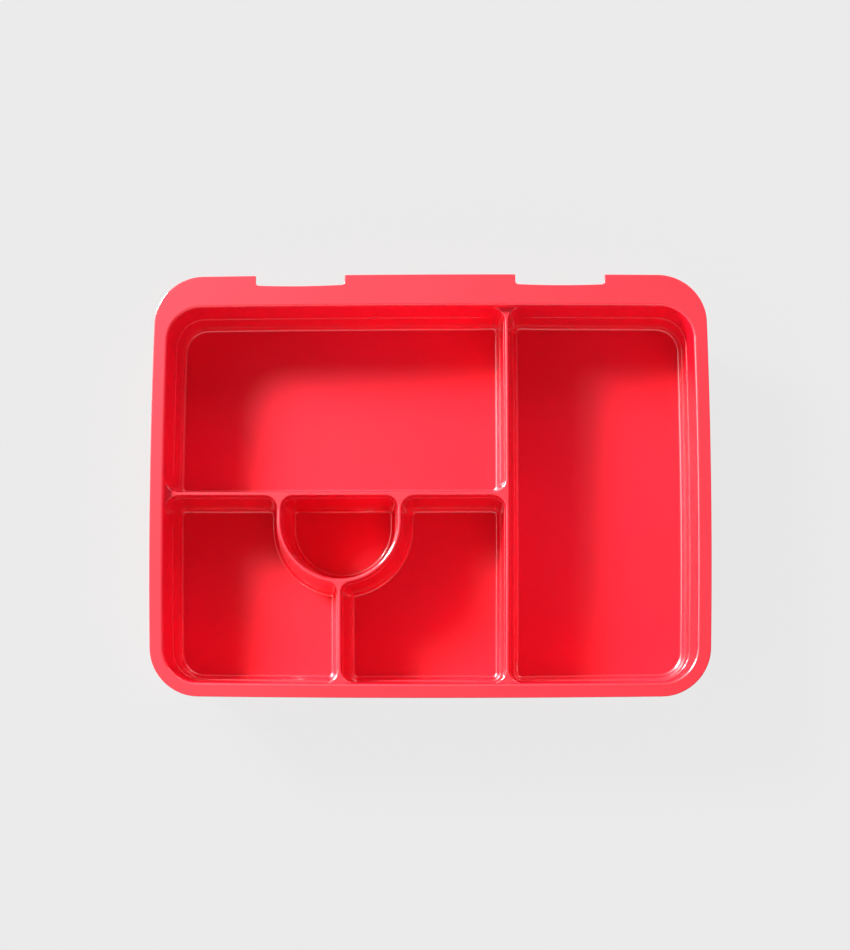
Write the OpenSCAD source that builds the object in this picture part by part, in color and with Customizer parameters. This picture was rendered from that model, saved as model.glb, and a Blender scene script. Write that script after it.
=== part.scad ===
// Removable tray of a lunch box: one moulding with a flat rim, a shallow basin, five drafted
// compartments and two latch notches in the rim's back edge.
// +X is the right-hand side, +Y the back (notched) side and +Z up. The origin is at the centre
// of the underside. Outlines are drawn with straight sides and then bowed slightly outward.

/* [Tray] */
// Width over the rim, left to right, at the middle of the sides
tray_w = 200; // [180:1:260]
// Depth over the rim, front to back, at the middle of the front and back
tray_d = 152; // [136:1:200]
// Height of the rim's top above the compartment floors
inner_depth = 28; // [18:0.5:45]
// Radius of the rim's outer corners
rim_corner_r = 17; // [13:0.5:30]
// How far the left and right sides bow out at their middle
side_bow = 1.25; // [0:0.05:3]
// How far the front and back bow out at their middle
end_bow = 0.75; // [0:0.05:3]

/* [Rim] */
// Thickness of the rim
rim_t = 2; // [1.2:0.1:2.8]
// Width of the rim on the left and on the right
rim_side = 4.9; // [3.5:0.1:9]
// Width of the rim along the front
rim_front = 5; // [3.5:0.1:9]
// Width of the rim along the back
rim_back = 11.3; // [8:0.1:16]

/* [Walls] */
// Thickness of the walls
wall_t = 1.8; // [1.2:0.1:2.2]
// Thickness of the floors
floor_t = 2; // [1.2:0.1:3]
// Draft of every wall, in degrees from vertical
draft = 6; // [2:0.5:8]
// Radius between a wall and a floor, inside a compartment
floor_fillet = 1.4; // [0.6:0.1:3]
// Radius of the lower edges, outside
foot_r = 3; // [1:0.1:4]
// Radius of the basin's corners at the rim
basin_corner_r = 12; // [8:0.5:18]

/* [Dividers] */
// Distance from the rim's top down to the divider tops
divider_drop = 3; // [2:0.1:6]
// Thickness of a divider at its top
divider_t = 1.1; // [0.8:0.1:1.6]
// Width of the long right-hand compartment, at the divider tops
side_cell_w = 66.4; // [45:0.2:75]
// Depth of the front compartments, at the divider tops
front_cell_d = 67; // [60:0.2:78]
// Width of the front left compartment, at the divider tops
left_cell_w = 61.8; // [52:0.2:66]
// Radius where a divider meets a wall or another divider
junction_r = 5; // [4:0.1:7]

/* [Sauce cup] */
// Width of the half-round cup, at the divider tops
cup_w = 42; // [30:0.5:48]
// Depth of the half-round cup from the cross divider to its round end
cup_d = 30.2; // [26:0.2:36]
// Radius of the cup's two square corners
cup_corner_r = 4.5; // [3:0.1:6]
// Radius where the cup's wall meets the divider in front of it
web_r = 4; // [3:0.1:6]

/* [Latch notches] */
// Width of a notch
notch_w = 32.4; // [20:0.1:40]
// Depth of a notch from the rim's back edge
notch_d = 4; // [2:0.1:6]
// Distance between the middles of the two notches
notch_spacing = 94.6; // [60:0.2:110]
// Radius of a notch's inner corners
notch_r = 1.2; // [0.4:0.1:1.8]

/* [Hidden] */

// Smallest radius that a corner shrinks to as a cavity narrows
sharp_r = 0.25;
// Cavities start this far inside the basin's wall, so that no two faces coincide
step_in = 0.1;
// How far a cutter runs past the face that it opens
overcut = 1;
// Half the width of a groove at its top
groove_tip = 0.3;
// How much shallower a notch is at its ends than at its middle
notch_sag = 0.4;
cell_count = 5;
// Longest straight stretch between two points of a bowed side
side_step = 16;
// Segments in a junction's quarter turn, a large quarter turn, and a floor fillet
small_turn = 6;
large_turn = 9;
fillet_turn = 3;

total_h = inner_depth + floor_t;
shelf_z = total_h - divider_drop;
half_w = tray_w / 2;
half_d = tray_d / 2;

// How far a wall has come inward at a given distance below where it starts
function lean(drop) = drop * tan(draft);

// Edges of the basin's walls, at the rim and at the divider tops
basin_x = half_w - rim_side;
basin_front = -(half_d - rim_front);
basin_back = half_d - rim_back;
shelf_lean = lean(divider_drop) + step_in;
wall_x = basin_x - shelf_lean;
wall_front = basin_front + shelf_lean;
wall_back = basin_back - shelf_lean;
wall_r = basin_corner_r - shelf_lean;

// Faces of the dividers at their tops
side_face = wall_x - side_cell_w;
main_face = side_face - divider_t;
front_face = wall_front + front_cell_d;
back_face = front_face + divider_t;
left_face = -wall_x + left_cell_w;
middle_face = left_face + divider_t;

// The cup is centred on the divider in front of it
cup_x = (left_face + middle_face) / 2;
cup_r = cup_w / 2;
cup_y = front_face - cup_d + cup_r;

// ---- Outlines: each is a closed loop, and inset moves every side inward ----

function arc(c, r, a0, a1, n) = [for (i = [0 : n]) c + r * [cos(a0 + (a1 - a0) * i / n), sin(a0 + (a1 - a0) * i / n)]];

function small_r(r, inset) = max(r - inset, sharp_r);

// A quarter turn in the corner that points to (sx, sy)
function corner(x, y, sx, sy, r, inset, n) =
    let (rr = small_r(r, inset), start = sx > 0 ? (sy > 0 ? 0 : 270) : (sy > 0 ? 90 : 180))
    arc([x - sx * (inset + rr), y - sy * (inset + rr)], rr, start, start + 90, n);

// A rectangle whose corners, anticlockwise from the front left, have their own radii
function box_loop(x0, x1, y0, y1, r, inset) = concat(
    corner(x0, y0, -1, -1, r[0], inset, r[0] > junction_r ? large_turn : small_turn),
    corner(x1, y0, 1, -1, r[1], inset, r[1] > junction_r ? large_turn : small_turn),
    corner(x1, y1, 1, 1, r[2], inset, r[2] > junction_r ? large_turn : small_turn),
    corner(x0, y1, -1, 1, r[3], inset, r[3] > junction_r ? large_turn : small_turn));

function rim_loop(inset) = box_loop(-half_w, half_w, -half_d, half_d, [for (i = [0 : 3]) rim_corner_r], inset);

function basin_loop(inset) =
    box_loop(-basin_x, basin_x, basin_front, basin_back, [for (i = [0 : 3]) basin_corner_r], inset);

function main_loop(inset) =
    box_loop(-wall_x, main_face, back_face, wall_back, [junction_r, junction_r, junction_r, wall_r], inset);

function side_loop(inset) =
    box_loop(side_face, wall_x, wall_front, wall_back, [junction_r, wall_r, wall_r, junction_r], inset);

function cup_loop(inset) = concat(
    arc([cup_x, cup_y], cup_r - inset, 180, 360, 4 * small_turn),
    corner(cup_x + cup_r, front_face, 1, 1, cup_corner_r, inset, small_turn),
    corner(cup_x - cup_r, front_face, -1, 1, cup_corner_r, inset, small_turn));

// A front compartment that the cup bites into. side is -1 for the left one and 1 for the
// middle one. u is the distance from the cup's middle to that side, so both are drawn alike.
function bitten_loop(side, far_u, far_r, inset) =
    let (
        near_u = divider_t / 2,
        bite_r = cup_r + divider_t + inset,
        rr = small_r(web_r, inset),
        web_u = near_u + inset + rr,
        lean_a = asin(web_u / (bite_r + rr)),
        web_y = cup_y - (bite_r + rr) * cos(lean_a),
        loop = concat(
            corner(far_u, wall_front, 1, -1, far_r, inset, far_r > junction_r ? large_turn : small_turn),
            corner(far_u, front_face, 1, 1, junction_r, inset, small_turn),
            corner(cup_r + divider_t, front_face, -1, 1, junction_r, inset, small_turn),
            arc([0, cup_y], bite_r, 0, lean_a - 90, 2 * small_turn),
            arc([web_u, web_y], rr, 90 + lean_a, 180, small_turn),
            corner(near_u, wall_front, -1, -1, junction_r, inset, small_turn)))
    side > 0 ? [for (p = loop) [cup_x + p.x, p.y]] : mirrored(loop);

// The same loop on the other side of the cup, still anticlockwise and from the same corner
function mirrored(loop) =
    let (n = len(loop))
    [for (i = [0 : n - 1]) let (p = loop[(n - i) % n]) [cup_x - p.x, p.y]];

function left_loop(inset) = bitten_loop(-1, cup_x + wall_x, wall_r, inset);
function middle_loop(inset) = bitten_loop(1, main_face - cup_x, junction_r, inset);

function notch_loop(side) =
    let (
        edge = half_d + overcut,
        bottom = half_d - notch_d,
        reach = notch_w / 2,
        ends = notch_floor(reach),
        loop = concat(
            [[-reach, edge]],
            arc([notch_r - reach, bottom + ends + notch_r], notch_r, 180, 270, small_turn),
            [for (u = [-reach / 2 : reach / 4 : reach / 2]) [u, bottom + notch_floor(u)]],
            arc([reach - notch_r, bottom + ends + notch_r], notch_r, 270, 360, small_turn),
            [[reach, edge]]))
    [for (p = loop) bowed([side * notch_spacing / 2 + p.x, p.y])];

// A notch's floor is shallower towards its ends
function notch_floor(u) = notch_sag * pow(2 * u / notch_w, 2);

// ---- Solids between loops ----

// Long sides bow outward: the bow is lost towards the ends of each side
function bowed(p) = [
    p.x * (1 - side_bow / half_w * pow(p.y / half_d, 2)),
    p.y * (1 - end_bow / half_d * pow(p.x / half_w, 2))];

// How many pieces each stretch of a loop is split into, so that it can bow. A long stretch gets
// an even number, so that it has a point at its middle.
function pieces(loop) = [
    for (i = [0 : len(loop) - 1])
        let (run = norm(loop[(i + 1) % len(loop)] - loop[i]))
        run > side_step ? 2 * ceil(run / (2 * side_step)) : 1];

function drawn(loop, counts) = [
    for (i = [0 : len(loop) - 1])
        for (k = [0 : counts[i] - 1])
            let (a = loop[i], b = loop[(i + 1) % len(loop)])
            bowed(a + (b - a) * k / counts[i])];

// A closed solid through loops of as many points, from the lowest to the highest
module loft(loops, heights) {
    counts = pieces(loops[len(loops) - 1]);
    rings = [for (l = loops) drawn(l, counts)];
    n = len(rings[0]);
    top = (len(rings) - 1) * n;
    polyhedron(
        points = [for (j = [0 : len(rings) - 1]) for (p = rings[j]) [p.x, p.y, heights[j]]],
        faces = concat(
            [[for (i = [0 : n - 1]) i]],
            [for (j = [0 : len(rings) - 2]) for (i = [0 : n - 1])
                let (a = j * n + i, b = j * n + (i + 1) % n)
                each [[a, a + n, b + n], [a, b + n, b]]],
            [[for (i = [0 : n - 1]) top + (n - i) % n]]));
}

// Heights and insets of the round edge between a wall and the flat face below it. The wall
// would meet that face, at height z, at the inset foot.
function round_foot(z, foot, r) = [
    for (k = [0 : fillet_turn])
        let (a = 90 - (90 - draft) * k / fillet_turn)
        [z + r - r * sin(a), foot + r * tan((90 - draft) / 2) - r * cos(a)]];

function cell_loop(i, inset) =
    i == 0 ? main_loop(inset) : i == 1 ? side_loop(inset) : i == 2 ? left_loop(inset) :
    i == 3 ? middle_loop(inset) : cup_loop(inset);

module cell_loft(i, levels) {
    loft([for (l = levels) cell_loop(i, l[1])], [for (l = levels) l[0]]);
}

// The inside of a compartment, open at the top
module cell_hollow(i) {
    depth = shelf_z - floor_t;
    cell_loft(i, concat(
        round_foot(floor_t, lean(depth), floor_fillet),
        [[shelf_z, 0], [shelf_z + overcut, 0]]));
}

// The shallow basin above the dividers
module basin_hollow() {
    loft(
        [basin_loop(lean(divider_drop)), basin_loop(-lean(overcut))],
        [shelf_z, total_h + overcut]);
}

// The outside of the basin and the compartments, as one block
module pan() {
    outside = [for (l = round_foot(0, lean(total_h) - wall_t, foot_r)) l];
    top = total_h - rim_t / 2;
    levels = concat(outside, [[top, lean(total_h - top) - wall_t]]);
    loft([for (l = levels) basin_loop(l[1])], [for (l = levels) l[0]]);
}

// Half of a groove's outline: each side keeps the wall thickness to its compartment
function groove_side() = concat(
    [for (l = round_foot(0, lean(shelf_z) - wall_t, foot_r)) [divider_t / 2 + l[1], l[0]]],
    [[groove_tip, shelf_z - (groove_tip + wall_t - divider_t / 2) / tan(draft)]]);

function groove_outline() =
    let (side = groove_side(), open = [side[0].x, -overcut], n = len(side) - 1)
    concat(
        [open], side,
        [for (i = [n : -1 : 0]) [-side[i].x, side[i].y]],
        [[-open.x, open.y]]);

// A straight groove under a divider, from one point to another
module straight_groove(from, to) {
    run = to - from;
    translate([from.x, from.y, 0])
        rotate([90, 0, atan2(run.y, run.x) + 90])
            linear_extrude(height = norm(run))
                polygon(groove_outline());
}

// The groove under the cup's round wall, swept along the middle of that wall
module cup_groove() {
    r = cup_r + divider_t / 2;
    outline = groove_outline();
    turn = [for (a = [180 : 180 / (4 * small_turn) : 360]) [cos(a), sin(a)]];
    y = front_face + divider_t / 2;
    path = concat([[cup_x - r, y]], [for (t = turn) [cup_x, cup_y] + r * t], [[cup_x + r, y]]);
    across = concat([turn[0]], turn, [turn[len(turn) - 1]]);
    n = len(outline);
    last = (len(path) - 1) * n;
    polyhedron(
        points = [for (i = [0 : len(path) - 1]) for (p = outline)
            [path[i].x + across[i].x * p.x, path[i].y + across[i].y * p.x, p.y]],
        faces = concat(
            [[for (i = [n - 1 : -1 : 0]) i]],
            [for (j = [0 : len(path) - 2]) for (i = [0 : n - 1])
                let (a = j * n + i, b = j * n + (i + 1) % n)
                each [[a, b, b + n], [a, b + n, a + n]]],
            [[for (i = [0 : n - 1]) last + i]]));
}

// Grooves under the dividers, so that every compartment has walls of even thickness
module grooves() {
    side_x = side_face - divider_t / 2;
    cross_y = front_face + divider_t / 2;
    straight_groove([side_x, -half_d], [side_x, half_d]);
    straight_groove([-half_w, cross_y], [side_x, cross_y]);
    straight_groove([cup_x, -half_d], [cup_x, cup_y - cup_r - divider_t / 2]);
    cup_groove();
}

module rim() {
    rim_path = rim_loop(0);
    translate([0, 0, total_h - rim_t])
        linear_extrude(height = rim_t)
            difference() {
                polygon(drawn(rim_path, pieces(rim_path)));
                for (side = [-1, 1])
                    polygon(notch_loop(side));
            }
}

module tray() {
    color([0.93, 0.11, 0.16])
        difference() {
            union() {
                rim();
                pan();
            }
            basin_hollow();
            for (i = [0 : cell_count - 1])
                cell_hollow(i);
            grooves();
        }
}

tray();
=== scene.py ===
"""The looks of the lunch box tray: one moulded piece of glossy red plastic on a pale floor in soft light."""

import math

import bpy
import numpy as np
from mathutils import Matrix, Vector
from mathutils.geometry import delaunay_2d_cdt


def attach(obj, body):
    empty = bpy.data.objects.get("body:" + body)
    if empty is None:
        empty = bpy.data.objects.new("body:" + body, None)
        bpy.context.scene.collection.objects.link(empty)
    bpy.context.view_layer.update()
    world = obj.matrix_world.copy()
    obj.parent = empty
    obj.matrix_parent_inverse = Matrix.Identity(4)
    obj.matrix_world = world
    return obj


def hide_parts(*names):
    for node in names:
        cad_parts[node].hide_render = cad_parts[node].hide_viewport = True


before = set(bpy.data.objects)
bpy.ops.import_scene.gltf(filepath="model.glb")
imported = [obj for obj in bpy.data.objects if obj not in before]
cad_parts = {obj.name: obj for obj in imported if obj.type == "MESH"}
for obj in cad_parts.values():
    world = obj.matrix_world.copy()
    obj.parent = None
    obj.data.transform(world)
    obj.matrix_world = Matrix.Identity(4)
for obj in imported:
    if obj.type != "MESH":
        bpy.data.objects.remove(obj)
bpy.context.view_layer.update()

# ---------------------------------------------------------------- camera

PHOTO_W, PHOTO_H = 850, 950
FOCAL_PX = 2559.4
CAMERA_AT = Vector((0.022973, -0.112792, 0.933879))
CAMERA_RIGHT = Vector((0.99963254, 0.00124452, -0.02707845))
CAMERA_UP = Vector((0.00221081, 0.99187447, 0.1272012))

camera_data = bpy.data.cameras.new("camera")
camera_data.sensor_width = 36.0
camera_data.lens = FOCAL_PX / max(PHOTO_W, PHOTO_H) * camera_data.sensor_width
camera_data.clip_start = 0.05
camera_data.clip_end = 20.0
camera = bpy.data.objects.new("camera", camera_data)
bpy.context.scene.collection.objects.link(camera)
back = CAMERA_RIGHT.cross(CAMERA_UP)
camera.matrix_world = Matrix.Translation(CAMERA_AT) @ Matrix(
    [[CAMERA_RIGHT[i], CAMERA_UP[i], back[i]] for i in range(3)]
).to_4x4()
bpy.context.scene.camera = camera

# ---------------------------------------------------------------- sizes, in millimetres, as in part.scad

MM_PER_M = 1000
HALF_W, HALF_D = 100.0, 76.0
INNER_DEPTH, FLOOR_T, RIM_T, WALL_T = 28.0, 2.0, 2.0, 1.8
RIM_R = 17.0
SIDE_BOW, END_BOW = 1.25, 0.75
RIM_SIDE, RIM_FRONT, RIM_BACK = 4.9, 5.0, 11.3
DRAFT = math.radians(6.0)
FLOOR_R, FOOT_R = 1.4, 3.0
BASIN_R = 12.0
DROP, DIVIDER_T = 3.0, 1.1
SIDE_CELL_W, FRONT_CELL_D, LEFT_CELL_W = 66.4, 67.0, 61.8
JUNCTION_R, WEB_R = 5.0, 4.0
CUP_W, CUP_D, CUP_CORNER_R = 42.0, 30.2, 4.5
NOTCH_W, NOTCH_D, NOTCH_SPACING, NOTCH_R, NOTCH_SAG = 32.4, 4.0, 94.6, 1.2, 0.4
STEP_IN = 0.1
GROOVE_TIP = 0.3
SHARP_R = 0.25

# Roundings that the solid leaves out
MOUTH_R = 1.1  # between the rim's top and the basin's wall
CREST_R = 0.5  # along the divider tops
EDGE_R = 0.35  # round the rim's outer edges
NOTCH_MOUTH_R = 0.5  # at the notches' outer corners
UNDER_R = 1.2  # between the rim's underside and the wall
TUB_R = 2.0  # upright corners of the tubs, beside the grooves
# Fine steps: (height, depth) half way up the basin's wall and under the divider tops. They fade out over
# STEP_FADE where a divider meets the wall.
STEPS = {"wall": (15.0, 0.2), "divider": (22.4, 0.09)}
STEP_FADE = 7.0
# Across a step: (height over its middle, share of its depth, angle that the surface faces above the level)
STEP_SHAPE = [
    (-0.16, 1.0, 6), (-0.1, 0.93, 45), (-0.04, 0.72, 72), (0.04, 0.28, 72), (0.1, 0.07, 45), (0.16, 0.0, 6),
]

TOTAL_H = INNER_DEPTH + FLOOR_T
SHELF_Z = TOTAL_H - DROP
RIM_Z = TOTAL_H - RIM_T
SLOPE = math.tan(DRAFT)


def lean(drop):
    return drop * SLOPE


BASIN_X = HALF_W - RIM_SIDE
BASIN_FRONT, BASIN_BACK = -(HALF_D - RIM_FRONT), HALF_D - RIM_BACK
SHELF_LEAN = lean(DROP) + STEP_IN
WALL_X = BASIN_X - SHELF_LEAN
WALL_FRONT, WALL_BACK = BASIN_FRONT + SHELF_LEAN, BASIN_BACK - SHELF_LEAN
WALL_R = BASIN_R - SHELF_LEAN
SIDE_FACE = WALL_X - SIDE_CELL_W
MAIN_FACE = SIDE_FACE - DIVIDER_T
FRONT_FACE = WALL_FRONT + FRONT_CELL_D
BACK_FACE = FRONT_FACE + DIVIDER_T
LEFT_FACE = -WALL_X + LEFT_CELL_W
CUP_X = LEFT_FACE + DIVIDER_T / 2
CUP_R = CUP_W / 2
CUP_Y = FRONT_FACE - CUP_D + CUP_R
BITE_R = CUP_R + DIVIDER_T
GROOVE_Z = SHELF_Z - (GROOVE_TIP + WALL_T - DIVIDER_T / 2) / SLOPE

# ---------------------------------------------------------------- outlines
# An outline is a list of runs, anticlockwise. A run is (points, normals, kind): its normals point
# out of the outline, and kind is "wall" where the run lies on the basin's wall, else "divider".

STRAIGHT_STEP = 4.0
# Pieces in a rounding, seen from above and across an edge
TURN = 12
BIG_TURN = 24
NOTCH_TURN, NOTCH_MOUTH_TURN, NOTCH_POINTS = 8, 6, 13
FILLET_TURN, CREST_TURN, MOUTH_TURN = 10, 6, 8
EDGE_TURN, FOOT_TURN, UNDER_TURN = 5, 8, 6


def arc(centre, r, a0, a1, n):
    a = np.radians(np.linspace(a0, a1, n + 1))
    d = np.stack([np.cos(a), np.sin(a)], 1)
    return np.asarray(centre, float) + r * d, d


class Insets:
    """How far in the walls and the dividers' faces stand at one level, and the corners' radii there."""

    def __init__(self, wall, divider, tub=None):
        self.wall, self.divider, self.tub = wall, divider, tub

    def of(self, kind):
        return self.wall if kind == "wall" else self.divider

    def radius(self, r):
        return self.tub if self.tub else max(r - self.divider, SHARP_R)


def corner(x, y, sx, sy, r, x_kind, y_kind, at):
    """The quarter turn in the corner that points to (sx, sy). A divider's turn stops where it meets the wall,
    and so is less than a quarter there."""
    start = (0 if sy > 0 else 270) if sx > 0 else (90 if sy > 0 else 180)
    if x_kind == y_kind == "wall":
        rr = r - at.wall
        c = (x - sx * (at.wall + rr), y - sy * (at.wall + rr))
        return arc(c, rr, start, start + 90, BIG_TURN) + ("wall",)
    rr = at.radius(r)
    reach = at.divider + rr
    c = (x - sx * reach, y - sy * reach)
    cut = math.degrees(math.acos(min(1.0, (reach - at.wall) / rr)))
    x_first = sx * sy > 0
    a0, a1 = start, start + 90
    if x_kind == "wall":
        a0, a1 = (a0 + cut, a1) if x_first else (a0, a1 - cut)
    if y_kind == "wall":
        a0, a1 = (a0, a1 - cut) if x_first else (a0 + cut, a1)
    return arc(c, rr, a0, a1, TURN) + ("divider",)


def straight(p, q, normal, kind, n):
    t = np.linspace(0, 1, n + 1)[:, None]
    points = p + (q - p) * t
    points[0], points[-1] = p, q
    return points, np.tile(np.asarray(normal, float), (n + 1, 1)), kind


def joined(runs, sides, pieces):
    """Puts a straight run between each run and the next. A side is (normal, kind), or None for no run."""
    out = []
    for i, run in enumerate(runs):
        out.append(run)
        if sides[i]:
            normal, kind = sides[i]
            out.append(straight(run[0][-1], runs[(i + 1) % len(runs)][0][0], normal, kind, pieces[i]))
    return out


def steps(length):
    return max(1, int(math.ceil(abs(length) / STRAIGHT_STEP)))


FRONT, RIGHT, BACK, LEFT = (0, -1), (1, 0), (0, 1), (-1, 0)


def box_cell(x0, x1, y0, y1, radii, kinds, at):
    """kinds: of the front, right, back and left sides. radii: anticlockwise from the front left corner."""
    f, r, b, l = kinds
    runs = [
        corner(x0, y0, -1, -1, radii[0], l, f, at),
        corner(x1, y0, 1, -1, radii[1], r, f, at),
        corner(x1, y1, 1, 1, radii[2], r, b, at),
        corner(x0, y1, -1, 1, radii[3], l, b, at),
    ]
    n, m = steps(x1 - x0), steps(y1 - y0)
    return joined(runs, [(FRONT, f), (RIGHT, r), (BACK, b), (LEFT, l)], [n, m, n, m])


def main_cell(at):
    radii = (JUNCTION_R, JUNCTION_R, JUNCTION_R, WALL_R)
    kinds = ("divider", "divider", "wall", "wall")
    return box_cell(-WALL_X, MAIN_FACE, BACK_FACE, WALL_BACK, radii, kinds, at)


def side_cell(at):
    radii = (JUNCTION_R, WALL_R, WALL_R, JUNCTION_R)
    kinds = ("wall", "wall", "wall", "divider")
    return box_cell(SIDE_FACE, WALL_X, WALL_FRONT, WALL_BACK, radii, kinds, at)


def cup_cell(at):
    d = at.divider
    half = arc((CUP_X, CUP_Y), CUP_R - d, 180, 360, 6 * TURN) + ("divider",)
    runs = [
        half,
        corner(CUP_X + CUP_R, FRONT_FACE, 1, 1, CUP_CORNER_R, "divider", "divider", at),
        corner(CUP_X - CUP_R, FRONT_FACE, -1, 1, CUP_CORNER_R, "divider", "divider", at),
    ]
    side = (RIGHT, "divider"), (BACK, "divider"), (LEFT, "divider")
    return joined(runs, side, [2, steps(CUP_W), 2])


def bitten_cell(right, far_u, far_r, far_kind, at):
    """A front compartment that the cup bites into. u is the distance from the cup's middle."""
    near_u = DIVIDER_T / 2
    bite = BITE_R + at.divider
    rr = at.radius(WEB_R)
    web_u = near_u + at.divider + rr
    turn = math.degrees(math.asin(web_u / (bite + rr)))
    web_y = CUP_Y - (bite + rr) * math.cos(math.radians(turn))
    cup_part = arc((0, CUP_Y), bite, 0, turn - 90, 3 * TURN)
    web = arc((web_u, web_y), rr, 90 + turn, 180, TURN)
    web[0][0] = cup_part[0][-1]
    runs = [
        corner(far_u, WALL_FRONT, 1, -1, far_r, far_kind, "wall", at),
        corner(far_u, FRONT_FACE, 1, 1, JUNCTION_R, far_kind, "divider", at),
        corner(BITE_R, FRONT_FACE, -1, 1, JUNCTION_R, "divider", "divider", at),
        (cup_part[0], -cup_part[1], "divider"),
        web + ("divider",),
        corner(near_u, WALL_FRONT, -1, -1, JUNCTION_R, "divider", "wall", at),
    ]
    by_cup = (LEFT, "divider")
    sides = [(RIGHT, far_kind), (BACK, "divider"), by_cup, None, by_cup, (FRONT, "wall")]
    deep, wide = steps(FRONT_CELL_D), steps(far_u)
    loop = joined(runs, sides, [deep, wide, 2, 0, deep, wide])
    if right:
        return [(p + (CUP_X, 0), n, k) for p, n, k in loop]
    return [(p[::-1] * (-1, 1) + (CUP_X, 0), n[::-1] * (-1, 1), k) for p, n, k in reversed(loop)]


def left_cell(at):
    return bitten_cell(False, CUP_X + WALL_X, WALL_R, "wall", at)


def middle_cell(at):
    return bitten_cell(True, MAIN_FACE - CUP_X, JUNCTION_R, "divider", at)


CELLS = (main_cell, side_cell, left_cell, middle_cell, cup_cell)


def wall_chain(rings):
    """The wall runs of all the cells' outlines at one level, as one closed chain round the basin."""
    main, side, left, middle = rings[0], rings[1], rings[2], rings[3]
    order = []
    # None stands for the next turn in a corner
    for ring, want in (
        (left, FRONT), (middle, FRONT), (side, FRONT), (side, None), (side, RIGHT), (side, None),
        (side, BACK), (main, BACK), (main, None), (main, LEFT), (left, LEFT), (left, None),
    ):
        for run in ring:
            if run[2] != "wall" or any(run is o for o in order):
                continue
            level = np.abs(run[1] - run[1][0]).max() < 1e-9
            if want is None and not level or want is not None and level and np.allclose(run[1][0], want):
                order.append(run)
                break
    return order


def notch_floor(u):
    """How far the notch's floor rises at a distance u from its middle."""
    return NOTCH_SAG * (2 * u / NOTCH_W) ** 2


def rim_outline():
    """The rim's outline with its notches, anticlockwise."""
    runs = []

    def line(q, normal):
        p = runs[-1][0][-1]
        q = np.asarray(q, float)
        runs.append(straight(p, q, normal, "wall", steps(np.linalg.norm(q - p))))

    def turn(centre, r, a0, a1, n, inward=False):
        p, d = arc(centre, r, a0, a1, n)
        runs.append((p, -d if inward else d, "wall"))

    x, y, r = HALF_W, HALF_D, RIM_R
    turn((-x + r, -y + r), r, 180, 270, BIG_TURN)
    line((x - r, -y), FRONT)
    turn((x - r, -y + r), r, 270, 360, BIG_TURN)
    line((x, y - r), RIGHT)
    turn((x - r, y - r), r, 0, 90, BIG_TURN)
    m, k = NOTCH_MOUTH_R, NOTCH_R
    for middle in (NOTCH_SPACING / 2, -NOTCH_SPACING / 2):
        bottom = y - NOTCH_D + NOTCH_SAG
        a, b = middle + NOTCH_W / 2, middle - NOTCH_W / 2
        line((a + m, y), BACK)
        turn((a + m, y - m), m, 90, 180, NOTCH_MOUTH_TURN)
        line((a, bottom + k), LEFT)
        turn((a - k, bottom + k), k, 0, -90, NOTCH_TURN, inward=True)
        p = runs[-1][0][-1]
        u = np.linspace(NOTCH_W / 2 - k, -NOTCH_W / 2 + k, NOTCH_POINTS)
        floor_y = y - NOTCH_D + notch_floor(u)
        floor_y += bottom - floor_y[0]
        dy = 8 * NOTCH_SAG * u / NOTCH_W**2
        normal = np.stack([-dy, np.ones_like(dy)], 1)
        normal[0] = normal[-1] = (0, 1)
        normal /= np.linalg.norm(normal, axis=1)[:, None]
        points = np.stack([middle + u, floor_y], 1)
        points[0] = p
        runs.append((points, normal, "wall"))
        turn((b + k, bottom + k), k, -90, -180, NOTCH_TURN, inward=True)
        line((b, y - m), RIGHT)
        turn((b - m, y - m), m, 0, 90, NOTCH_MOUTH_TURN)
    line((-x + r, y), BACK)
    turn((-x + r, y - r), r, 90, 180, BIG_TURN)
    line((-x, -y + r), LEFT)
    return runs


def moved(runs, out):
    """The outline, moved out along its normals."""
    return [(p + n * out, n, k) for p, n, k in runs]


# ---------------------------------------------------------------- mesh

verts, index, faces, corner_normals = [], {}, [], []


def bowed(p):
    """Long sides bow outward: the bow is lost towards the ends of each side."""
    x, y = p[:, 0], p[:, 1]
    a, b = SIDE_BOW / HALF_W, END_BOW / HALF_D
    q = p.copy()
    q[:, 0] = x * (1 - a * (y / HALF_D) ** 2)
    q[:, 1] = y * (1 - b * (x / HALF_W) ** 2)
    return q


def bowed_normals(p, n):
    """The normals n at the points p, turned as the bow turns the surface there."""
    x, y = p[:, 0], p[:, 1]
    a, b = SIDE_BOW / HALF_W, END_BOW / HALF_D
    xx, xy = 1 - a * (y / HALF_D) ** 2, -2 * a * x * y / HALF_D**2
    yx, yy = -2 * b * x * y / HALF_W**2, 1 - b * (x / HALF_W) ** 2
    det = xx * yy - xy * yx
    m = n.copy()
    m[:, 0] = (yy * n[:, 0] - yx * n[:, 1]) / det
    m[:, 1] = (-xy * n[:, 0] + xx * n[:, 1]) / det
    return m / np.linalg.norm(m, axis=1)[:, None]


def vertex(p):
    """The number of the vertex at p. Points at one place share a vertex."""
    key = tuple(np.round(p, 5) + 0.0)
    if key not in index:
        index[key] = len(verts)
        verts.append(p)
    return index[key]


def face(points, normals):
    """Adds a face, turned so that it faces the way its normals point. A face with no area is left out."""
    ids = [vertex(p) for p in points]
    keep = [i for i in range(len(ids)) if ids[i] != ids[i - 1]]
    if len(keep) < 3 or len({ids[i] for i in keep}) < 3:
        return
    p = np.array([points[i] for i in keep])
    n = np.array([normals[i] for i in keep])
    area = sum(np.cross(p[i] - p[0], p[i + 1] - p[0]) for i in range(1, len(p) - 1))
    if area @ n.sum(0) < 0:
        keep.reverse()
    faces.append([ids[i] for i in keep])
    corner_normals.append([normals[i] for i in keep])


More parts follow.
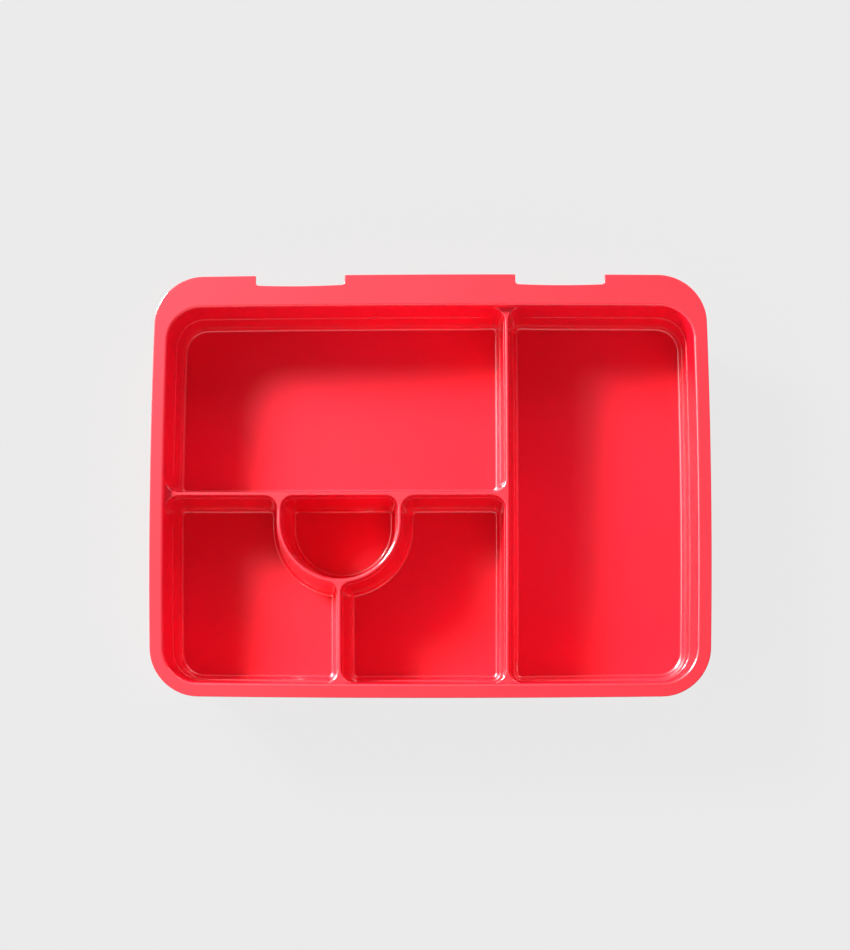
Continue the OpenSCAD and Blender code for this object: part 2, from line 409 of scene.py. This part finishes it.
def step_shares(runs):
    """For each run, how much of its kind's step each point has."""
    ends = {kind: [run[0][[0, -1]] for run in runs if run[2] == kind] for kind in STEPS}
    out = []
    for p, _, kind in runs:
        others = ends["divider" if kind == "wall" else "wall"]
        if others:
            far = np.linalg.norm(p[:, None] - np.vstack(others)[None], axis=2).min(1)
            share = np.clip(far / STEP_FADE, 0, 1)
            out.append(share * share * (3 - 2 * share))
        else:
            out.append(np.ones(len(p)))
    return out


def stepped(runs, standing):
    """The outline with its runs moved in by the share of their kind's step that standing says."""
    out = []
    for (p, n, kind), share in zip(runs, step_shares(runs)):
        out.append((p - n * (STEPS[kind][1] * standing[kind] * share)[:, None], n, kind))
    return out


class Level:
    """Runs at one height. across and up are the surface normal's parts along the runs' normals and along Z:
    numbers, or a list with an array for each run."""

    def __init__(self, runs, z, across, up):
        self.runs = []
        for r, (p, n, kind) in enumerate(runs):
            q = bowed(p)
            points = np.column_stack([q, np.full(len(q), z)])
            a, u = (across[r], up[r]) if isinstance(across, list) else (across, up)
            tilted = np.column_stack([n * np.reshape(a, (-1, 1)), np.broadcast_to(u, len(n))])
            self.runs.append((points, bowed_normals(p, tilted), kind))


def strip(low, high, closed=False):
    """Faces between two levels with the same runs. closed also joins each run's end to the next one's start."""
    count = len(low.runs)
    for r in range(count):
        (p, pn, _), (q, qn, _) = low.runs[r], high.runs[r]
        for i in range(len(p) - 1):
            face([p[i], p[i + 1], q[i + 1], q[i]], [pn[i], pn[i + 1], qn[i + 1], qn[i]])
        if closed:
            (s, sn, _), (t, tn, _) = low.runs[(r + 1) % count], high.runs[(r + 1) % count]
            face([p[-1], s[0], t[0], q[-1]], [pn[-1], sn[0], tn[0], qn[-1]])


def flat(loops, up):
    """A flat region between closed loops of 3D points, all at one height."""
    points, edges, seen = [], [], {}
    for loop in loops:
        ids = []
        for p in loop:
            key = vertex(p)
            if key not in seen:
                seen[key] = len(points)
                points.append(p)
            if not ids or ids[-1] != seen[key]:
                ids.append(seen[key])
        if ids[0] == ids[-1]:
            ids.pop()
        edges += list(zip(ids, ids[1:] + ids[:1]))
    flat_points = [Vector((p[0], p[1])) for p in points]
    out, _, tris, origin, _, _ = delaunay_2d_cdt(flat_points, edges, [], 0, 1e-7)
    a = np.array([points[i][:2] for i, _ in edges])
    b = np.array([points[j][:2] for _, j in edges])
    normal = np.array([0.0, 0.0, up])
    for tri in tris:
        ids = [origin[i][0] for i in tri]
        c = np.mean([points[i][:2] for i in ids], axis=0)
        crosses = (a[:, 1] > c[1]) != (b[:, 1] > c[1])
        (ax, ay), (bx, by) = a[crosses].T, b[crosses].T
        x = ax + (c[1] - ay) * (bx - ax) / (by - ay)
        if (x > c[0]).sum() % 2:
            face([points[i] for i in ids], [normal] * 3)


def outline_of(level):
    return [p for run in level.runs for p in run[0]]


def network_outlines(levels):
    """The outlines of the plane that the dividers share: the cells' divider runs, joined along the wall."""
    chains = []
    for level in levels:
        runs = level.runs
        flags = [k == "divider" for _, _, k in runs]
        if all(flags):
            chains.append([p for run in runs for p in run[0]])
            continue
        start = next(i for i in range(len(runs)) if flags[i] and not flags[i - 1])
        chain = []
        for j in range(len(runs)):
            run = runs[(start + j) % len(runs)]
            if run[2] != "divider":
                break
            chain += list(run[0])
        chains.append(chain)
    main, side, left, middle, cup = chains
    # Clockwise round each cell's open side, so that the four chains make one loop round the network
    outer = main[::-1] + left[::-1] + middle[::-1] + side[::-1]
    return [outer, cup]


def arc_levels(z, inset, r, start, end, n, bulge, facing):
    """(z, inset, across, up) round an edge. bulge is 1 on an outside edge and -1 in an inside one."""
    out = []
    for k in range(n + 1):
        a = math.radians(start + (end - start) * k / n)
        c, s = math.cos(a), math.sin(a)
        out.append((z + bulge * r * s, inset + bulge * r * c, c * facing, s))
    return out


DRAFT_DEG = math.degrees(DRAFT)
# From the corner between a wall and a level face to where a rounding of radius 1 starts
HALF_TURN = math.tan(math.radians((90 - DRAFT_DEG) / 2))
# The same for a rounding on top of a wall, as an inset of its middle
BULGE_IN = (1 - math.sin(DRAFT)) / math.cos(DRAFT)

# Inside: the compartments, from their floors up to the divider tops. A surface inside faces against
# the outlines' normals, so "across" is negative.
floor_inset = lean(SHELF_Z - FLOOR_T) + FLOOR_R * HALF_TURN
fillet = arc_levels(FLOOR_T + FLOOR_R, floor_inset, FLOOR_R, 90, DRAFT_DEG, FILLET_TURN, -1, -1)
crest = arc_levels(SHELF_Z - CREST_R, -BULGE_IN * CREST_R, CREST_R, DRAFT_DEG, 90, CREST_TURN, 1, -1)
tops = []
for cell in CELLS:
    below = {"wall": 1, "divider": 1}
    levels = [Level(stepped(cell(Insets(i, i)), below), z, a, u) for z, i, a, u in fillet]
    flat([outline_of(levels[0])], 1)
    wall_part = (-math.cos(DRAFT), math.sin(DRAFT))
    for kind, (middle, _) in STEPS.items():
        for rise, part, angle in STEP_SHAPE:
            z = middle + rise
            below[kind] = part
            i = lean(SHELF_Z - z)
            runs = cell(Insets(i, i))
            turn = [
                np.radians(DRAFT_DEG + (angle - DRAFT_DEG) * (share if run[2] == kind else 0 * share))
                for run, share in zip(runs, step_shares(runs))
            ]
            across, up = [-np.cos(t) for t in turn], [np.sin(t) for t in turn]
            levels.append(Level(stepped(runs, below), z, across, up))
    for z, i, a, u in crest:
        runs = cell(Insets(lean(SHELF_Z - z), i))
        level = Level(runs, z, a, u)
        on_wall = Level(runs, z, *wall_part)
        level.runs = [w if w[2] == "wall" else d for d, w in zip(level.runs, on_wall.runs)]
        levels.append(level)
    for low, high in zip(levels, levels[1:]):
        strip(low, high)
    tops.append(levels[-1])
flat(network_outlines(tops), 1)

# Inside: the basin's wall above the divider tops, rounded over into the rim's top
chain = wall_chain([cell(Insets(0.0, -BULGE_IN * CREST_R)) for cell in CELLS])
mouth_inset = -lean(DROP) - BULGE_IN * MOUTH_R
mouth = arc_levels(TOTAL_H - MOUTH_R, mouth_inset, MOUTH_R, DRAFT_DEG, 90, MOUTH_TURN, 1, -1)
levels = [Level(chain, SHELF_Z, -math.cos(DRAFT), math.sin(DRAFT))]
levels += [Level(moved(chain, -i), z, a, u) for z, i, a, u in mouth]
for low, high in zip(levels, levels[1:]):
    strip(low, high, closed=True)
basin_edge = outline_of(levels[-1])

# The rim's top, edge and underside
outline = rim_outline()
edge = arc_levels(TOTAL_H - EDGE_R, -EDGE_R, EDGE_R, 90, 0, EDGE_TURN, 1, 1)
edge += arc_levels(RIM_Z + EDGE_R, -EDGE_R, EDGE_R, 0, -90, EDGE_TURN, 1, 1)
levels = [Level(moved(outline, i), z, a, u) for z, i, a, u in edge]
for low, high in zip(levels, levels[1:]):
    strip(low, high, closed=True)
flat([outline_of(levels[0]), basin_edge], 1)
rim_under = outline_of(levels[-1])

# Outside: the tubs, from their feet up to the grooves' tops
foot_inset = lean(SHELF_Z) - WALL_T + FOOT_R * HALF_TURN
foot = []
for k in range(FOOT_TURN + 1):
    a = math.radians(90 - (90 - DRAFT_DEG) * k / FOOT_TURN)
    c, s = math.cos(a), math.sin(a)
    foot.append((FOOT_R - FOOT_R * s, foot_inset - FOOT_R * c, c, -s))
groove_inset = lean(SHELF_Z - GROOVE_Z) - WALL_T
foot.append((GROOVE_Z, groove_inset, math.cos(DRAFT), -math.sin(DRAFT)))
tops = []
for cell in CELLS:
    levels = [Level(cell(Insets(i, i, TUB_R)), z, a, u) for z, i, a, u in foot]
    flat([outline_of(levels[0])], -1)
    for low, high in zip(levels, levels[1:]):
        strip(low, high)
    tops.append(levels[-1])
flat(network_outlines(tops), -1)

# Outside: the wall above the grooves, up to the rim's underside
chain = wall_chain([cell(Insets(groove_inset, groove_inset, TUB_R)) for cell in CELLS])
levels = [Level(chain, GROOVE_Z, math.cos(DRAFT), -math.sin(DRAFT))]
under_inset = lean(SHELF_Z - RIM_Z) - WALL_T
for k in range(UNDER_TURN + 1):
    a = math.radians(-DRAFT_DEG - (90 - DRAFT_DEG) * k / UNDER_TURN)
    out = -under_inset + UNDER_R * HALF_TURN - UNDER_R * math.cos(a)
    z = RIM_Z - UNDER_R - UNDER_R * math.sin(a)
    levels.append(Level(moved(chain, out + groove_inset), z, math.cos(a), math.sin(a)))
for low, high in zip(levels, levels[1:]):
    strip(low, high, closed=True)
flat([rim_under, outline_of(levels[-1])], -1)

mesh = bpy.data.meshes.new("tray_body")
mesh.from_pydata([tuple(v / MM_PER_M) for v in verts], [], faces)
mesh.polygons.foreach_set("use_smooth", [True] * len(mesh.polygons))
mesh.update()
mesh.normals_split_custom_set([tuple(n) for face_normals in corner_normals for n in face_normals])
tray = bpy.data.objects.new("tray_body", mesh)
bpy.context.scene.collection.objects.link(tray)
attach(tray, "root")
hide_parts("tray")

# ---------------------------------------------------------------- material

def socket(node, name, value):
    node.inputs[name].default_value = value


plastic = bpy.data.materials.new("red_plastic")
plastic.use_nodes = True
nodes, links = plastic.node_tree.nodes, plastic.node_tree.links
shader = nodes["Principled BSDF"]
socket(shader, "Specular IOR Level", 0.2)
socket(shader, "Coat Weight", 1.0)
socket(shader, "Coat Roughness", 0.02)
place = nodes.new("ShaderNodeTexCoord").outputs["Object"]


def noise(scale, detail, stretch=(1, 1, 1)):
    """A noise in the tray's own coordinates. scale is in features per metre."""
    mapping = nodes.new("ShaderNodeMapping")
    socket(mapping, "Scale", stretch)
    links.new(place, mapping.inputs["Vector"])
    texture = nodes.new("ShaderNodeTexNoise")
    socket(texture, "Scale", scale)
    socket(texture, "Detail", detail)
    links.new(mapping.outputs["Vector"], texture.inputs["Vector"])
    return texture.outputs["Fac"]


def ranged(value, low, high, to_low, to_high, smooth=False):
    node = nodes.new("ShaderNodeMapRange")
    node.interpolation_type = "SMOOTHSTEP" if smooth else "LINEAR"
    for name, number in (("From Min", low), ("From Max", high), ("To Min", to_low), ("To Max", to_high)):
        socket(node, name, number)
    links.new(value, node.inputs["Value"])
    return node.outputs["Result"]


def math_node(operation, a, b):
    node = nodes.new("ShaderNodeMath")
    node.operation = operation
    links.new(a, node.inputs[0])
    links.new(b, node.inputs[1])
    return node.outputs[0]


def colour_mix(factor, a, b):
    node = nodes.new("ShaderNodeMix")
    node.data_type = "RGBA"
    links.new(factor, node.inputs["Factor"])
    for end, colour in ((6, a), (7, b)):
        if isinstance(colour, tuple):
            node.inputs[end].default_value = colour
        else:
            links.new(colour, node.inputs[end])
    return node.outputs[2]


def split_z(vector):
    node = nodes.new("ShaderNodeSeparateXYZ")
    links.new(vector, node.inputs[0])
    return node.outputs["Z"]


DEEP_RED, BRIGHT_RED = (0.86, 0.0018, 0.022, 1), (0.90, 0.0024, 0.026, 1)
# The paler red is painted sheen on the up-facing rim and divider tops
PAINTED_SHEEN_RED = (0.88, 0.013, 0.034, 1)
RUBBED_AND_SHEEN_FROM, RUBBED_AND_SHEEN_WHOLLY = 0.0262, 0.0268  # heights in metres, just under the divider tops
SATIN_LEAST, SATIN_MOST, FLAT_ROUGHER, RUBBED_ROUGHER = 0.39, 0.45, 0.09, 0.09

# The rim and the divider tops, which lids and hands rub, are a little less glossy; their up-facing tops also
# get a paler red, which is painted sheen from the key light
height = ranged(split_z(place), RUBBED_AND_SHEEN_FROM, RUBBED_AND_SHEEN_WHOLLY, 0, 1)
facing = split_z(nodes.new("ShaderNodeNewGeometry").outputs["Normal"])
facing_up = ranged(facing, 0.75, 0.99, 0, 1, smooth=True)
patches = ranged(noise(45, 3), 0.3, 0.7, 0.86, 1.0)
rubbed_and_sheen = math_node("MULTIPLY", math_node("MULTIPLY", height, facing_up), patches)
cloud = colour_mix(ranged(noise(22, 2), 0.35, 0.65, 0, 1), DEEP_RED, BRIGHT_RED)
# Painted sheen: the paler red is mixed in on the up-facing tops
links.new(colour_mix(rubbed_and_sheen, cloud, PAINTED_SHEEN_RED), shader.inputs["Base Color"])

# Fine streaks from moulding and washing
streaks = ranged(noise(900, 4, (1, 0.06, 1)), 0.55, 0.75, 0, 1)
grain = noise(2600, 2)
satin = ranged(math_node("ADD", streaks, grain), 0.3, 1.6, SATIN_LEAST, SATIN_MOST)
worn = math_node("ADD", ranged(facing_up, 0, 1, 0, FLAT_ROUGHER), ranged(rubbed_and_sheen, 0, 1, 0, RUBBED_ROUGHER))
links.new(math_node("ADD", satin, worn), shader.inputs["Roughness"])

bump = nodes.new("ShaderNodeBump")
socket(bump, "Strength", 0.25)
socket(bump, "Distance", 0.00002)
links.new(math_node("ADD", grain, noise(70, 1)), bump.inputs["Height"])
links.new(bump.outputs["Normal"], shader.inputs["Normal"])
wave = nodes.new("ShaderNodeBump")
socket(wave, "Strength", 0.3)
socket(wave, "Distance", 0.00004)
links.new(noise(60, 1), wave.inputs["Height"])
links.new(wave.outputs["Normal"], shader.inputs["Coat Normal"])
mesh.materials.append(plastic)

# ---------------------------------------------------------------- light

def collection(name, *objects):
    group = bpy.data.collections.new(name)
    for o in objects:
        group.objects.link(o)
    return group


def lamp(name, kind, at, towards, energy, lights, **settings):
    data = bpy.data.lights.new(name, kind)
    data.energy = energy
    for setting, value in settings.items():
        setattr(data, setting, value)
    o = bpy.data.objects.new(name, data)
    bpy.context.scene.collection.objects.link(o)
    at, towards = Vector(at), Vector(towards)
    o.matrix_world = Matrix.Translation(at) @ (at - towards).to_track_quat("Z", "Y").to_matrix().to_4x4()
    o.light_linking.receiver_collection = lights
    return o


PALE = 0.839
FLOOR_HALF, FLOOR_GAP = 6, 0.0002  # metres
FLOOR_OWN_GLOW = 0.94  # the rest of the floor's light is what the lamp and the shadow make of it

floor_mesh = bpy.data.meshes.new("floor")
floor_corners = [(x * FLOOR_HALF, y * FLOOR_HALF, 0) for x, y in ((-1, -1), (1, -1), (1, 1), (-1, 1))]
floor_mesh.from_pydata(floor_corners, [], [(0, 1, 2, 3)])
floor = bpy.data.objects.new("floor", floor_mesh)
bpy.context.scene.collection.objects.link(floor)
floor.location.z = -FLOOR_GAP

paper = bpy.data.materials.new("pale_floor")
paper.use_nodes = True
nodes, links = paper.node_tree.nodes, paper.node_tree.links
nodes.remove(nodes["Principled BSDF"])
diffuse = nodes.new("ShaderNodeBsdfDiffuse")
socket(diffuse, "Color", (PALE, PALE, PALE, 1))
glow = nodes.new("ShaderNodeEmission")
socket(glow, "Color", (PALE, PALE, PALE, 1))
ray = nodes.new("ShaderNodeLightPath")
seen = nodes.new("ShaderNodeMath")
seen.operation = "MAXIMUM"
links.new(ray.outputs["Is Camera Ray"], seen.inputs[0])
links.new(ray.outputs["Is Glossy Ray"], seen.inputs[1])
through = nodes.new("ShaderNodeMath")
through.operation = "MAXIMUM"
links.new(seen.outputs[0], through.inputs[0])
links.new(ray.outputs["Is Transmission Ray"], through.inputs[1])
share = nodes.new("ShaderNodeMath")
share.operation = "MULTIPLY"
share.inputs[1].default_value = FLOOR_OWN_GLOW
links.new(through.outputs[0], share.inputs[0])
mix = nodes.new("ShaderNodeMixShader")
links.new(share.outputs[0], mix.inputs[0])
links.new(diffuse.outputs[0], mix.inputs[1])
links.new(glow.outputs[0], mix.inputs[2])
# Seen from below, the floor lets the eye and the light through, so that the tray's underside shows.
face = nodes.new("ShaderNodeNewGeometry")
under = nodes.new("ShaderNodeMath")
under.operation = "MAXIMUM"
links.new(face.outputs["Backfacing"], under.inputs[0])
links.new(ray.outputs["Transparent Depth"], under.inputs[1])
under.use_clamp = True
clear = nodes.new("ShaderNodeBsdfTransparent")
seen_from = nodes.new("ShaderNodeMixShader")
links.new(under.outputs[0], seen_from.inputs[0])
links.new(mix.outputs[0], seen_from.inputs[1])
links.new(clear.outputs[0], seen_from.inputs[2])
links.new(seen_from.outputs[0], nodes["Material Output"].inputs["Surface"])
floor_mesh.materials.append(paper)

KEY_AT = (-0.633, 0.47, 0.466)
GLOSS_FURTHER = 2.2
GLOSS_AT = tuple(GLOSS_FURTHER * v for v in KEY_AT)
CENTRE = (0, 0, 0.03)

on_tray = collection("lit_tray", tray)
on_floor = collection("lit_floor", floor)
# The light comes from the back left. One lamp gives it its shadows, and two beyond give it its shine.
key = lamp("key", "AREA", KEY_AT, CENTRE, 13.0, on_tray, shape="DISK", size=0.20)
fill = lamp("right_fill", "AREA", (0.75, -0.1, 0.9), CENTRE, 2.4, on_tray, shape="DISK", size=0.9)
lamp("back_fill", "AREA", (0.45, 0.80, 0.52), CENTRE, 3.2, on_tray, shape="RECTANGLE", size=0.6, size_y=0.4)
for soft in (key, fill):
    soft.visible_glossy = False
gloss = lamp("key_gloss", "AREA", GLOSS_AT, CENTRE, 445.0, on_tray, shape="DISK", size=0.76)
halo = lamp("key_halo", "AREA", GLOSS_AT, CENTRE, 30.0, on_tray, shape="DISK", size=2.08)
FRONT_AT = (0.0, -0.74, 0.72)
front = lamp("front_gloss", "AREA", FRONT_AT, CENTRE, 2.8, on_tray, shape="RECTANGLE", size=1.6, size_y=0.24)
for shine in (gloss, halo, front):
    shine.visible_diffuse = False
lamp("floor_sun", "SUN", KEY_AT, CENTRE, 2.4, on_floor, angle=math.radians(14))

# The room: greys from the horizon (0) to straight up (1), brighter on the left and dark overhead
GREYS = [(0.0, PALE), (0.25, 1.0), (0.5, 1.0), (0.75, 0.5), (0.87, 0.015)]
BRIGHT_SIDE, EVEN, LEANING = (-0.8, -0.1, 0.0), 0.84, 0.75

world = bpy.data.worlds.new("studio")
bpy.context.scene.world = world
world.use_nodes = True
nodes, links = world.node_tree.nodes, world.node_tree.links
background = nodes["Background"]
where = nodes.new("ShaderNodeTexCoord")
split = nodes.new("ShaderNodeSeparateXYZ")
links.new(where.outputs["Generated"], split.inputs[0])
ramp = nodes.new("ShaderNodeValToRGB")
links.new(split.outputs["Z"], ramp.inputs[0])
links.new(ramp.outputs[0], background.inputs["Color"])
# The eye sees the pale colour of the floor wherever it looks past the floor.
plain = nodes.new("ShaderNodeBackground")
socket(plain, "Color", (PALE, PALE, PALE, 1))
look = nodes.new("ShaderNodeLightPath")
shown = nodes.new("ShaderNodeMixShader")
links.new(look.outputs["Is Camera Ray"], shown.inputs[0])
links.new(background.outputs[0], shown.inputs[1])
links.new(plain.outputs[0], shown.inputs[2])
links.new(shown.outputs[0], nodes["World Output"].inputs["Surface"])
side = nodes.new("ShaderNodeVectorMath")
side.operation = "DOT_PRODUCT"
side.inputs[1].default_value = BRIGHT_SIDE
links.new(where.outputs["Generated"], side.inputs[0])
strength = nodes.new("ShaderNodeMath")
strength.operation = "MULTIPLY_ADD"
strength.inputs[1].default_value = LEANING
strength.inputs[2].default_value = EVEN
links.new(side.outputs["Value"], strength.inputs[0])
links.new(strength.outputs[0], background.inputs["Strength"])
while len(ramp.color_ramp.elements) < len(GREYS):
    ramp.color_ramp.elements.new(0.5)
for stop, (at, grey) in zip(ramp.color_ramp.elements, GREYS):
    stop.position = at
    stop.color = (grey, grey, grey, 1)
bpy.context.scene.view_settings.view_transform = "Standard"
